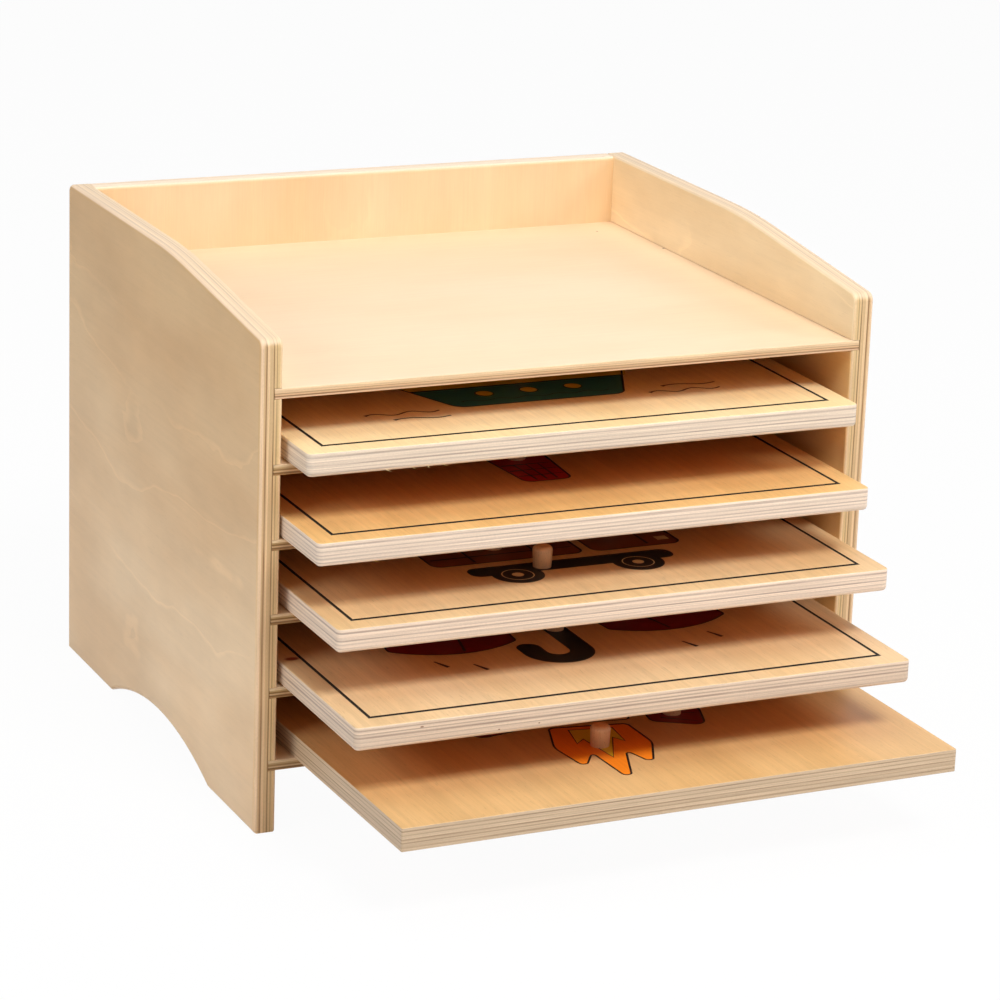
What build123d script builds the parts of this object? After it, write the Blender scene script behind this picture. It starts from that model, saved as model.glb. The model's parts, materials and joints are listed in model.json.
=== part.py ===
from build123d import *
from math import cos, radians, sin
import os

# Puzzle storage cabinet: a plywood case with an open tray on top and five bays, each with a
# loose puzzle board that slides on a thin shelf. Each board carries inlay pieces with knobs.
# Millimetres. X runs across the case, the open front faces -Y and +Z is up. The origin is on
# the floor, midway across the case and midway between its back and the furthest drawn board.

# Case sides
case_width = 352.0
case_depth = 310.0
side_thickness = 12.0
slope_run = 138.0
shoulder_radius = 460.0
top_front_radius = 5.0
top_back_radius = 4.0
outer_ease = 2.2
inner_ease = 1.5

# Arch in the foot of each side
front_foot = 70.0
back_foot = 78.0
arch_rise = 16.0

# Back panel between the sides
back_thickness = 12.0
back_ease = 2.0
back_top_drop = 0.5

# Shelves, housed in grooves in the sides, and the tray's walls above the top one
bay_count = 5
shelf_thickness = 5.5
shelf_pitch = 40.0
bottom_clear_height = 34.0
shelf_front_ease = 0.5
groove_depth = 4.5
groove_play = 0.2
groove_end_gap = 0.25
tray_front_wall = 25.5
tray_back_wall = 40.5

# Puzzle boards, loose in their bays
board_side_play = 6.5
plain_board_side_play = 5.5
board_back_gap = 10.0
board_thickness = 12.5
board_corner_radius = 3.0
board_top_ease = 0.8
board_bottom_ease = 2.2
plain_board_corner_radius = 0.8
plain_board_ease = 0.4
border_inset = 12.5
border_width = 1.6
border_depth = 0.3
picture_square = 1.0

# Inlay pieces and their knobs
inlay_thickness = 6.0
inlay_gap = 0.4
knob_radius = 5.5
knob_base_radius = 4.9
knob_height = 12.0
knob_crown = 0.7
knob_round = 2.6
tenon_radius = 2.2
tenon_length = 5.0
tenon_gap = 0.3

# From the top bay down: each board's name, how far it is drawn out of the case, how far it lies
# to one side as a share of its play, its turn in degrees seen from above, and whether a border
# line runs round its face
boards = [
    ("boat", 26.5, -0.41, 0.0, True),
    ("balloon", 48.5, -0.8, 0.0, True),
    ("truck", 66.5, -0.13, 0.0, True),
    ("umbrella", 99.5, -0.58, 0.0, True),
    ("rocket", 134.0, 0.91, 1.0, False),
]

# Places and sizes that follow from those above
side_inner = case_width / 2 - side_thickness
plain_board_width = 2 * (side_inner - plain_board_side_play)
board_width = 2 * (side_inner - board_side_play)
board_widths = [board_width if bordered else plain_board_width for *others, bordered in boards]
reaches = [
    draw * cos(radians(turn)) + width / 2 * abs(sin(radians(turn)))
    for (name, draw, lie, turn, bordered), width in zip(boards, board_widths)
]
case_back = (case_depth + max(reaches)) / 2
case_front = case_back - case_depth
back_inner = case_back - back_thickness
tray_underside = bottom_clear_height + bay_count * shelf_pitch
tray_floor = tray_underside + shelf_thickness
front_height = tray_floor + tray_front_wall
back_height = tray_floor + tray_back_wall
shelf_undersides = [tray_underside - bay * shelf_pitch for bay in range(bay_count + 1)]
board_depth = back_inner - case_front - board_back_gap


# Outlines of the inlay pieces, drawn in squares of the pictures' grid: X runs across the board
# from its middle, and Y inward from its front edge.


def rounded(*corners, radius=5.0):
    """A straight-sided outline with rounded corners; a list gives each corner its own radius."""
    with BuildSketch() as outline:
        with BuildLine():
            FilletPolyline(*corners, radius=radius, close=True)
        make_face()
    return outline.sketch


def gore(low_x, high_x):
    """The part of the balloon's round envelope between two upright cuts."""
    radius = 58.0
    centre = 182.0
    with BuildSketch() as outline:
        with Locations((0, centre)):
            Circle(radius)
        with Locations(((low_x + high_x) / 2, centre)):
            Rectangle(high_x - low_x, 2 * radius, mode=Mode.INTERSECT)
    return outline.sketch


def chassis():
    """The truck's straight chassis bar with its two wheels, cut as one piece."""
    bar_length = 116.0
    bar_height = 12.0
    bar_centre = 62.0
    wheel_radius = 13.0
    wheel_centre = 53.0
    wheel_offset = 35.0
    with BuildSketch() as outline:
        with Locations((0, bar_centre)):
            RectangleRounded(bar_length, bar_height, 5.0)
        with Locations((-wheel_offset, wheel_centre), (wheel_offset, wheel_centre)):
            Circle(wheel_radius)
    return outline.sketch


def load():
    """The truck's load, a box with a bowed top."""
    with BuildSketch() as outline:
        with BuildLine():
            Polyline((-68, 156), (-68, 120), (10, 120), (10, 156))
            ThreePointArc((10, 156), (-29, 170), (-68, 156))
        make_face()
        fillet(outline.vertices(), radius=4.0)
    return outline.sketch


def crook_handle():
    """The umbrella's handle: a straight shaft that ends in a hooked crook."""
    width = 11.0
    shaft_end = 114.0
    crook_centre = 74.0
    crook_radius = 13.0
    tip_end = 82.0
    with BuildSketch() as outline:
        with Locations((-crook_radius, crook_centre)):
            Circle(crook_radius + width / 2)
            Circle(crook_radius - width / 2, mode=Mode.SUBTRACT)
            Rectangle(
                4 * crook_radius,
                2 * crook_radius,
                align=(Align.CENTER, Align.MIN),
                mode=Mode.SUBTRACT,
            )
        with Locations((0, crook_centre)):
            Rectangle(width, shaft_end - crook_centre, align=(Align.CENTER, Align.MIN))
        with Locations((-2 * crook_radius, crook_centre)):
            Rectangle(width, tip_end - crook_centre, align=(Align.CENTER, Align.MIN))
        with Locations((-2 * crook_radius, tip_end)):
            Circle(width / 2)
        fillet(outline.vertices().group_by(Axis.Y)[-1], radius=4.0)
    return outline.sketch


def side_gore(side):
    """One of the umbrella's outer gores, with a bowed hem and rib; side is 1 or -1."""
    with BuildSketch() as outline:
        with BuildLine():
            ThreePointArc((28 * side, 96), (62 * side, 86), (98 * side, 100))
            ThreePointArc((98 * side, 100), (74 * side, 164), (17 * side, 212))
            Line((17 * side, 212), (28 * side, 96))
        make_face()
        fillet(outline.vertices(), radius=3.0)
    return outline.sketch


def middle_gore():
    """The umbrella's middle gore, narrower towards its tip."""
    with BuildSketch() as outline:
        with BuildLine():
            ThreePointArc((-23, 126), (0, 120), (23, 126))
            Polyline((23, 126), (10, 222), (-10, 222), (-23, 126))
        make_face()
        fillet(outline.vertices(), radius=3.0)
    return outline.sketch


def leaning(outlines, middle=Vector(0, 146), lean=-10.0):
    """Pieces of a picture that leans by so many degrees about its middle."""
    return [
        (
            name,
            Pos(*middle) * Rot(Z=lean) * Pos(*-middle) * outline,
            tuple(middle + (Vector(*knob_place) - middle).rotate(Axis.Z, lean))[:2],
        )
        for name, outline, knob_place in outlines
    ]


# The rocket's outlines: a flame with three tongues, a body bowed along both sides and a nose
flame = rounded(
    (-21, 96),
    (21, 96),
    (26, 68),
    (18, 40),
    (9, 60),
    (0, 18),
    (-9, 60),
    (-18, 40),
    (-26, 68),
    radius=[3.0, 3.0, 20.0, 2.0, 2.0, 2.0, 2.0, 2.0, 20.0],
)
fuselage = rounded(
    (-24, 103),
    (24, 103),
    (33, 146),
    (23, 190),
    (-23, 190),
    (-33, 146),
    radius=[3.0, 3.0, 150.0, 3.0, 3.0, 150.0],
)
nose_cone = rounded(
    (-22, 196), (22, 196), (18, 218), (0, 243), (-18, 218), radius=[3.0, 3.0, 24.0, 3.0, 24.0]
)

# The pieces of each puzzle: a name, an outline and the place of its knob
puzzles = {
    "boat": [
        ("boat_hull", rounded((-72, 116), (72, 116), (46, 58), (-50, 58), radius=8.0), (6, 108)),
        ("boat_mainsail", rounded((5, 124), (66, 124), (5, 226)), (24, 146)),
        ("boat_jib", rounded((-5, 124), (-56, 124), (-5, 204)), (-21, 144)),
        ("boat_pennant", rounded((5, 246), (5, 218), (44, 232), radius=3.0), (16, 232)),
    ],
    "balloon": [
        ("balloon_basket", rounded((-13, 66), (13, 66), (17, 116), (-17, 116)), (0, 108)),
        ("balloon_left_gore", gore(-58.0, -21.0), (-36, 182)),
        ("balloon_middle_gore", gore(-17.0, 17.0), (0, 182)),
        ("balloon_right_gore", gore(21.0, 58.0), (36, 182)),
    ],
    "truck": [
        ("truck_chassis", chassis(), (-17, 62)),
        ("truck_bed", rounded((-72, 77), (14, 77), (14, 112), (-72, 112)), (-29, 99)),
        ("truck_load", load(), (-29, 140)),
        ("truck_cab", rounded((21, 77), (72, 77), (72, 108), (54, 146), (21, 146)), (43, 106)),
    ],
    "umbrella": [
        ("umbrella_handle", crook_handle(), (0, 106)),
        ("umbrella_left_gore", side_gore(-1), (-52, 132)),
        ("umbrella_middle_gore", middle_gore(), (0, 164)),
        ("umbrella_right_gore", side_gore(1), (52, 132)),
    ],
    "rocket": leaning(
        [
            ("rocket_flame", flame, (-2, 68)),
            ("rocket_left_fin", rounded((-36, 98), (-62, 88), (-66, 112), (-36, 150)), (-50, 108)),
            ("rocket_right_fin", rounded((36, 98), (62, 88), (66, 112), (36, 150)), (50, 108)),
            ("rocket_body", fuselage, (0, 146)),
            ("rocket_nose", nose_cone, (0, 209)),
        ]
    ),
}


os.makedirs("parts", exist_ok=True)


# Sides: the outline of the top edge, the arch between the two feet, eased edges on both faces
# and a stopped groove for each shelf
with BuildPart() as left_side:
    with BuildSketch(Plane.YZ.offset(-case_width / 2)):
        with BuildLine():
            FilletPolyline(
                (case_front, 0),
                (case_front, front_height),
                (case_front + slope_run, back_height),
                (case_back, back_height),
                (case_back, 0),
                radius=[top_front_radius, shoulder_radius, top_back_radius],
            )
            Line((case_back, 0), (case_back - back_foot, 0))
            arch_middle = (case_back - back_foot + case_front + front_foot) / 2
            ThreePointArc(
                (case_back - back_foot, 0), (arch_middle, arch_rise), (case_front + front_foot, 0)
            )
            Line((case_front + front_foot, 0), (case_front, 0))
        make_face()
    extrude(amount=side_thickness)
    fillet(left_side.faces().sort_by(Axis.X)[0].edges(), radius=outer_ease)
    fillet(left_side.faces().sort_by(Axis.X)[-1].edges(), radius=inner_ease)
    with BuildSketch(Plane.YZ.offset(-side_inner)):
        for underside in shelf_undersides:
            with Locations((case_front, underside)):
                Rectangle(
                    back_inner - case_front,
                    shelf_thickness + groove_play,
                    align=(Align.MIN, Align.MIN),
                )
    extrude(amount=-groove_depth, mode=Mode.SUBTRACT)
left_side.part.label = "left_side"
export_step(left_side.part, "parts/left_side.step")

with BuildPart() as right_side:
    mirror(left_side.part, about=Plane.YZ)
right_side.part.label = "right_side"
export_step(right_side.part, "parts/right_side.step")

# Back panel, from the bottom shelf's underside to just below the top of the sides
with BuildPart() as back_panel:
    with BuildSketch(Plane.XZ.offset(-case_back)):
        with Locations((0, bottom_clear_height)):
            Rectangle(
                2 * side_inner,
                back_height - back_top_drop - bottom_clear_height,
                align=(Align.CENTER, Align.MIN),
            )
    extrude(amount=back_thickness)
    top_face = back_panel.faces().sort_by(Axis.Z)[-1]
    fillet(top_face.edges().filter_by(Axis.X), radius=back_ease)
back_panel.part.label = "back_panel"
export_step(back_panel.part, "parts/back_panel.step")

# The tray's floor and the five shelves, whose ends stand in the grooves
for level, underside in enumerate(shelf_undersides):
    with BuildPart() as shelf:
        with BuildSketch(Plane.XY.offset(underside)):
            with Locations((0, case_front)):
                Rectangle(
                    2 * (side_inner + groove_depth - groove_end_gap),
                    back_inner - case_front,
                    align=(Align.CENTER, Align.MIN),
                )
        extrude(amount=shelf_thickness)
        front_face = shelf.faces().sort_by(Axis.Y)[0]
        fillet(front_face.edges().filter_by(Axis.X), radius=shelf_front_ease)
    shelf.part.label = "tray_floor" if level == 0 else f"shelf_{level}"
    export_step(shelf.part, f"parts/{shelf.part.label}.step")

# Each board lies on its shelf, with a pocket for every inlay piece of its puzzle. Its centre
# line crosses the case's front edge where it lies in its play.
for (name, draw, lie, turn, bordered), width, underside in zip(
    boards, board_widths, shelf_undersides[1:]
):
    play = board_side_play if bordered else plain_board_side_play
    across = Vector(1, 0, 0).rotate(Axis.Z, turn)
    inward = Vector(0, 1, 0).rotate(Axis.Z, turn)
    resting_place = Vector(lie * play, case_front, underside + shelf_thickness)
    base = Plane(resting_place - draw * inward, x_dir=across)
    face = base.offset(board_thickness)
    pieces = [
        (piece_name, scale(outline, by=picture_square), (picture_square * x, picture_square * y))
        for piece_name, outline, (x, y) in puzzles[name]
    ]
    with BuildPart() as board:
        with BuildSketch(base):
            Rectangle(width, board_depth, align=(Align.CENTER, Align.MIN))
        extrude(amount=board_thickness)
        corner_radius = board_corner_radius if bordered else plain_board_corner_radius
        fillet(board.edges().filter_by(Axis.Z), radius=corner_radius)
        top_ease = board_top_ease if bordered else plain_board_ease
        bottom_ease = board_bottom_ease if bordered else plain_board_ease
        fillet(board.faces().sort_by(Axis.Z)[-1].edges(), radius=top_ease)
        fillet(board.faces().sort_by(Axis.Z)[0].edges(), radius=bottom_ease)
        if bordered:
            with BuildSketch(face):
                with Locations((0, board_depth / 2)):
                    for line_edge, mode in ((border_width, Mode.ADD), (-border_width, Mode.SUBTRACT)):
                        Rectangle(
                            width - 2 * border_inset + line_edge,
                            board_depth - 2 * border_inset + line_edge,
                            mode=mode,
                        )
            extrude(amount=-border_depth, mode=Mode.SUBTRACT)
        with BuildSketch(face):
            for piece_name, outline, knob_place in pieces:
                offset(outline, amount=inlay_gap, mode=Mode.ADD)
        extrude(amount=-inlay_thickness, mode=Mode.SUBTRACT)
    board.part.label = f"{name}_board"
    export_step(board.part, f"parts/{name}_board.step")

    for piece_name, outline, knob_place in pieces:
        # The inlay piece, flush with the board's face and drilled for its knob
        with BuildPart() as inlay:
            with BuildSketch(face):
                add(outline)
            extrude(amount=-inlay_thickness)
            with Locations(face):
                with Locations(knob_place):
                    Hole(tenon_radius + tenon_gap, depth=tenon_length + tenon_gap)
        inlay.part.label = piece_name
        export_step(inlay.part, f"parts/{piece_name}.step")

        # Its turned knob, wider at the top, with a tenon below
        knob_foot = face.from_local_coords((*knob_place, 0))
        with BuildPart() as knob:
            with BuildSketch(Plane(knob_foot, x_dir=across, z_dir=-inward)):
                with BuildLine():
                    FilletPolyline(
                        (0, 0),
                        (knob_base_radius, 0),
                        (knob_radius, knob_height - knob_crown),
                        (0, knob_height),
                        radius=[0, knob_round],
                    )
                    Line((0, knob_height), (0, 0))
                make_face()
                with Locations((0, -tenon_length)):
                    Rectangle(tenon_radius, tenon_length, align=(Align.MIN, Align.MIN))
            revolve(axis=Axis(knob_foot, (0, 0, 1)))
        knob.part.label = f"{piece_name}_knob"
        export_step(knob.part, f"parts/{piece_name}_knob.step")
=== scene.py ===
import json
import math
import random

import bmesh
import bpy
from mathutils import Matrix, Vector

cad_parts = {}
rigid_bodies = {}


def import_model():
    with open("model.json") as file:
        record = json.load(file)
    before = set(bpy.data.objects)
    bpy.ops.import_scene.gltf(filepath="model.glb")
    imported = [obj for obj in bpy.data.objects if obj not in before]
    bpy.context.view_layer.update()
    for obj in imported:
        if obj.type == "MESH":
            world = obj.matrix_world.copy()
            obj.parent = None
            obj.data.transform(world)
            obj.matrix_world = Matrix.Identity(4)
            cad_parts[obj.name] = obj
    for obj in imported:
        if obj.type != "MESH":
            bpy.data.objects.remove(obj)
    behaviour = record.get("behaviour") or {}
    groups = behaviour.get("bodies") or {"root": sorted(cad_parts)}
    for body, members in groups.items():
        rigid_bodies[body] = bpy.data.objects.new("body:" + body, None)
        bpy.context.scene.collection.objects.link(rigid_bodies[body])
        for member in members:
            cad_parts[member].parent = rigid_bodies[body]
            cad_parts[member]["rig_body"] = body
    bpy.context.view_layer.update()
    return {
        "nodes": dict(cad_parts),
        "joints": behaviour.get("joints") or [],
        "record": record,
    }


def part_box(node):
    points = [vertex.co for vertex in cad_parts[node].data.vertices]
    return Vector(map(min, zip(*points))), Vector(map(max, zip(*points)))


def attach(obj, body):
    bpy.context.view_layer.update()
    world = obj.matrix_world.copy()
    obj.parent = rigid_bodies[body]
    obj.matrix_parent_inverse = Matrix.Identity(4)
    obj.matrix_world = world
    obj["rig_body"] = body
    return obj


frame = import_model()
nodes = frame["nodes"]

# Metres here, like the frame: one millimetre as a factor
MM = 0.001

# Camera at the photograph's view: place in metres, angles in degrees, lens in millimetres
CAMERA_PLACE = (-0.82865, -1.78494, 0.74114)
CAMERA_AZIMUTH = 24.868
CAMERA_FALL = 16.988
CAMERA_ROLL = 2.064
CAMERA_LENS = 135.09
CAMERA_SENSOR = 36.0

# The puzzles, from the top bay down. The lowest board has no border line and plainer plies.
BOARD_NAMES = ("boat", "balloon", "truck", "umbrella", "rocket")
PLAIN_BOARD = "rocket"


# Places of the boards, worked out from the frame


def board_frame(name):
    """Centre, turn and half sizes of a board; X runs across it and Y inward."""
    low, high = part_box(f"{name}_board")
    slide = next(j for j in frame["joints"] if j["name"] == f"{name}_board_slide")
    turn = math.atan2(slide["axis"][0], -slide["axis"][1])
    span_x = high.x - low.x
    span_y = high.y - low.y
    cos, sin = math.cos(turn), math.sin(turn)
    spread = cos * cos - sin * sin
    return {
        "centre": (low + high) / 2,
        "turn": turn,
        "half_x": (span_x * cos - span_y * sin) / spread / 2,
        "half_y": (span_y * cos - span_x * sin) / spread / 2,
        "top": high.z,
        "bottom": low.z,
    }


boards = {name: board_frame(name) for name in BOARD_NAMES}


def on_board(name, x, y, z=0.0):
    """The point x mm across from a board's middle, y mm in from its front edge, z mm above it."""
    board = boards[name]
    place = Vector((x * MM, y * MM - board["half_y"], 0.0))
    place.rotate(Matrix.Rotation(board["turn"], 3, "Z"))
    place += board["centre"]
    place.z = board["top"] + z * MM
    return place


# Shader nodes: short calls that add a node to one material and give back its output

PLY_ROUGHNESS = 0.42
COAT_ROUGHNESS = 0.3


class Shader:
    """One material. Its place is in millimetres, in the object's own frame."""

    def __init__(self, name, roughness=PLY_ROUGHNESS, coat=0.04, specular=0.3):
        self.material = bpy.data.materials.new(name)
        self.material.use_nodes = True
        self.tree = self.material.node_tree
        self.surface = self.tree.nodes["Principled BSDF"]
        self.surface.inputs["Roughness"].default_value = roughness
        self.surface.inputs["Coat Weight"].default_value = coat
        self.surface.inputs["Coat Roughness"].default_value = COAT_ROUGHNESS
        self.surface.inputs["Specular IOR Level"].default_value = specular
        source = self.tree.nodes.new("ShaderNodeTexCoord")
        self.normal = source.outputs["Normal"]
        self.place = self.vector("MULTIPLY", source.outputs["Object"], (1 / MM, 1 / MM, 1 / MM))

    def wire(self, node, socket, value):
        """Links an output or sets a plain value; None leaves the socket as it is."""
        if isinstance(value, bpy.types.NodeSocket):
            self.tree.links.new(value, node.inputs[socket])
        elif value is not None:
            if node.inputs[socket].type == "RGBA":
                value = (*value, 1.0)
            node.inputs[socket].default_value = value

    def node(self, kind, inputs, **settings):
        made = self.tree.nodes.new("ShaderNode" + kind)
        for setting, value in settings.items():
            setattr(made, setting, value)
        for socket, value in inputs.items():
            self.wire(made, socket, value)
        return made

    def vector(self, operation, a, b):
        return self.node("VectorMath", {0: a, 1: b}, operation=operation).outputs[0]

    def maths(self, operation, a, b=None, c=None):
        return self.node("Math", {0: a, 1: b, 2: c}, operation=operation).outputs[0]

    def times(self, a, b):
        return self.maths("MULTIPLY", a, b)

    def larger(self, a, b):
        return self.maths("MAXIMUM", a, b)

    def size(self, value):
        """The value without its sign."""
        return self.maths("ABSOLUTE", value)

    def split(self, vector):
        return self.node("SeparateXYZ", {0: vector}).outputs

    def join(self, x, y, z):
        return self.node("CombineXYZ", {0: x, 1: y, 2: z}).outputs[0]

    def noise(self, vector, detail=2.0, roughness=0.5):
        inputs = {"Vector": vector, "Scale": 1.0, "Detail": detail, "Roughness": roughness}
        return self.node("TexNoise", inputs).outputs[0]

    def smooth(self, value, low, high):
        """0 below low, 1 above high and smooth between; low may be the larger."""
        inputs = {"Value": value, "From Min": low, "From Max": high, "To Min": 0.0, "To Max": 1.0}
        return self.node("MapRange", inputs, interpolation_type="SMOOTHSTEP").outputs[0]

    def mix(self, factor, a, b, blend="MIX"):
        made = self.node("Mix", {0: factor, 6: a, 7: b}, data_type="RGBA", blend_type=blend)
        return made.outputs[2]

    def ramp(self, factor, stops):
        made = self.node("ValToRGB", {0: factor})
        elements = made.color_ramp.elements
        while len(elements) < len(stops):
            elements.new(0.5)
        for element, (position, colour) in zip(elements, stops):
            element.position = position
            element.color = (*colour, 1.0)
        return made.outputs[0]

    def shade(self, colour, amount, strength):
        """Darkens or lightens a colour by strength where amount is 0 or 1, with 0.5 as neutral."""
        factor = self.maths("MULTIPLY_ADD", amount, 2 * strength, 1 - strength)
        return self.node("VectorMath", {0: colour, 3: factor}, operation="SCALE").outputs[0]

    def darken(self, colour, mask, strength):
        """Darkens a colour by strength where a mask is 1."""
        return self.shade(colour, self.maths("MULTIPLY_ADD", mask, -0.5, 0.5), strength)

    def lighten(self, colour, mask, strength):
        """Lightens a colour by strength where a mask is 1."""
        return self.shade(colour, self.maths("MULTIPLY_ADD", mask, 0.5, 0.5), strength)

    def finish(self, colour, height, depth=0.04):
        """Sets the colour, and the relief that a height of 0 to 1 makes, depth mm deep."""
        self.wire(self.surface, "Base Color", colour)
        bump = self.node("Bump", {"Strength": 1.0, "Distance": depth * MM, "Height": height})
        self.wire(self.surface, "Normal", bump.outputs[0])
        return self.material


# Wood: the face of a sheet, its plies along the edges, and small marks on it

WHITE = (1.0, 1.0, 1.0)
WARM_TONE = (0.93, 0.885, 0.81)

# Noise of the veneer: how often it turns per millimetre, with the grain and across it
TONE_NOISE = (0.007, 0.018)
CLOUD_NOISE = (0.016, 0.034)
BAND_NOISE = (0.0025, 0.045)
LINE_NOISE = (0.006, 0.36)
FIBRE_NOISE = (0.035, 1.5)
FLECK_NOISE = (0.13, 1.3)
HILL_NOISE = (0.0032, 0.012)
RIPPLE_NOISE = (0.022, 0.05)
PATCH_NOISE = (0.004, 0.010)
THROUGH_NOISE = 0.4

# The range over which a pattern's noise comes in, and how much flecks and fibres stand out
TONE_RANGE = (0.36, 0.66)
LINE_RANGE = (0.34, 0.66)
FLECK_RANGE = (0.61, 0.72)
PATCH_RANGE = (0.44, 0.58)
FLECK_HEIGHT = 0.5
FIBRE_HEIGHT = 0.5

# The veneer's figure: rings round a slow hill, each with a pale crest on its upper end
RIPPLE_SHARE = 0.09
RING_COUNT = 6.0
CREST_RISE = (0.90, 0.975)
CREST_FALL = (1.0, 0.985)
RING_FALL = -0.3
RING_START = 0.56
RING_SHARE = 0.4

# Noise of the plies, per millimetre: along the edge and through the sheet
DRIFT_NOISE = 0.014
FADE_NOISE = (0.02, 0.35)
STREAK_NOISE = (0.012, 1.7)
GRAIN_NOISE = (0.7, 2.4)
FADE_RANGE = (0.42, 0.66)
STREAK_RANGE = (0.32, 0.68)

# How far the plies wander, in millimetres, how softly they meet, and their contrast and relief
PLY_WANDER = 0.22
PLY_BLUR = 0.020
PLY_BLUR_SHARE = 0.3
LAST_STOP = 0.999
PLY_GRAIN = 0.14
STREAK_HEIGHT = 0.8
GRAIN_HEIGHT = 0.5

# Which surfaces count as facing along an axis, and how much of a mark has its full colour
FACING = (0.72, 0.93)
MARK_CORE = 0.45


def veneer(
    shader, along, across, deep, colour, seed, warm=WARM_TONE, cloud=0.05, band=0.03, line=0.025,
    fibre=0.07, figure=0.10, fleck=0.08,
):
    """Birch veneer on a face, its grain running with the first of the three directions.

    The amounts from cloud to fleck say how much each pattern darkens and lightens the colour.
    """
    start = shader.join(along, across, shader.maths("ADD", deep, seed))

    def field(noise, **settings):
        return shader.noise(shader.vector("MULTIPLY", start, (*noise, THROUGH_NOISE)), **settings)

    tone = shader.ramp(field(TONE_NOISE, detail=3.0), list(zip(TONE_RANGE, (warm, WHITE))))
    tinted = shader.mix(1.0, tone, colour, "MULTIPLY")
    tinted = shader.shade(tinted, field(CLOUD_NOISE, detail=3.0, roughness=0.6), cloud * 2)
    tinted = shader.shade(tinted, field(BAND_NOISE, detail=3.0), band * 2)
    streak = shader.smooth(field(LINE_NOISE, detail=4.0, roughness=0.6), *LINE_RANGE)
    tinted = shader.shade(tinted, streak, line)
    fibres = field(FIBRE_NOISE, detail=3.0, roughness=0.6)
    tinted = shader.shade(tinted, fibres, fibre)
    dash = shader.smooth(field(FLECK_NOISE, detail=2.0, roughness=0.6), *FLECK_RANGE)
    tinted = shader.darken(tinted, dash, fleck)

    ripple = field(RIPPLE_NOISE, detail=2.0)
    hill = shader.maths("MULTIPLY_ADD", ripple, RIPPLE_SHARE, field(HILL_NOISE, detail=1.0))
    ring = shader.maths("FRACT", shader.times(hill, RING_COUNT))
    patch = shader.smooth(field(PATCH_NOISE, detail=1.0), *PATCH_RANGE)
    crest = shader.times(shader.smooth(ring, *CREST_RISE), shader.smooth(ring, *CREST_FALL))
    slope = shader.maths("MULTIPLY_ADD", shader.times(ring, patch), RING_FALL, RING_START)
    tinted = shader.shade(tinted, slope, figure * RING_SHARE)
    tinted = shader.lighten(tinted, shader.times(crest, patch), figure)

    height = shader.maths("MULTIPLY_ADD", dash, FLECK_HEIGHT, shader.times(fibres, FIBRE_HEIGHT))
    return tinted, height


def plies(shader, depth, thickness, along, layers, seed, hair=0.26, fade=0.6):
    """The edge of a sheet: layers lists a share of the thickness and a colour for each ply.

    Fine hairs run along them, and in places the plies fade into their mean colour.
    """
    def field(noise, **settings):
        place = shader.join(shader.times(along, noise[0]), shader.times(depth, noise[1]), seed)
        return shader.noise(place, **settings)

    drift = shader.noise(shader.join(shader.times(along, DRIFT_NOISE), 0.0, seed))
    drift = shader.maths("MULTIPLY_ADD", drift, 2 * PLY_WANDER, -PLY_WANDER)
    share = shader.maths("DIVIDE", shader.maths("ADD", depth, drift), thickness)
    total = sum(part for part, colour in layers)
    stops = []
    reached = 0.0
    for part, colour in layers:
        blur = min(PLY_BLUR, PLY_BLUR_SHARE * part / total)
        stops.append((min(reached / total + blur, LAST_STOP), colour))
        reached += part
        stops.append((reached / total - blur, colour))
    colour = shader.ramp(share, stops)
    mean = tuple(sum(part * tone[i] for part, tone in layers) / total for i in range(3))
    fading = shader.smooth(field(FADE_NOISE), *FADE_RANGE)
    colour = shader.mix(shader.times(fading, fade), colour, mean)
    streak = shader.smooth(field(STREAK_NOISE, detail=4.0, roughness=0.62), *STREAK_RANGE)
    grain = field(GRAIN_NOISE, roughness=0.6)
    colour = shader.shade(colour, streak, hair * 0.5)
    colour = shader.shade(colour, grain, PLY_GRAIN)
    height = shader.maths("MULTIPLY_ADD", streak, STREAK_HEIGHT, shader.times(grain, GRAIN_HEIGHT))
    return colour, height


def facing(shader, component, reach=FACING):
    """1 where the surface faces along one axis, 0 on its edges."""
    return shader.smooth(shader.size(component), *reach)


def between(shader, value, low, high, soft):
    """1 from low to high, fading to 0 within soft on both sides."""
    above = shader.smooth(value, low - soft, low)
    return shader.times(above, shader.smooth(value, high + soft, high))


def spot(shader, colour, place, reach, ink):
    """A small mark round a place, as large as reach, in millimetres."""
    gap = shader.vector("DIVIDE", shader.vector("SUBTRACT", shader.place, place), reach)
    distance = shader.node("VectorMath", {0: gap}, operation="LENGTH").outputs[1]
    return shader.mix(shader.smooth(distance, 1.0, MARK_CORE), colour, ink)


# The case's sheets

# A side's outer face is darker than its inner face, and darker and browner towards its top, as
# painted shade; it is paler towards its foot, as painted light bounced from the floor
SIDE_FACE_SHADED_TOP = (0.675, 0.435, 0.200)
SIDE_FACE_LIT_FOOT = (0.88, 0.65, 0.41)
SIDE_WARM_TONE = (0.90, 0.83, 0.74)
SIDE_INNER_FACE = (0.96, 0.79, 0.53)
# More saturated orange on the inner walls and the back panel down in the bays: painted shade
BAY_SHADE_FACE = (0.93, 0.65, 0.31)
BACK_FACE = (0.86, 0.64, 0.40)
SHELF_FACE = (0.90, 0.68, 0.46)
SHELF_WARM_TONE = (0.97, 0.95, 0.92)
# Orange on the undersides of shelves and boards, so that the shade below them comes out deep
# red-brown: painted shade
UNDERSIDE_SHADE_ORANGE = (0.84, 0.36, 0.10)
# Darker brown on the walls and bottoms of a side's grooves
GROOVE_BROWN = (0.40, 0.25, 0.08)
# Pale tone on a side's upward-facing edges: painted light on its top edge
SIDE_TOP_LIGHT = (0.90, 0.71, 0.52)

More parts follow.
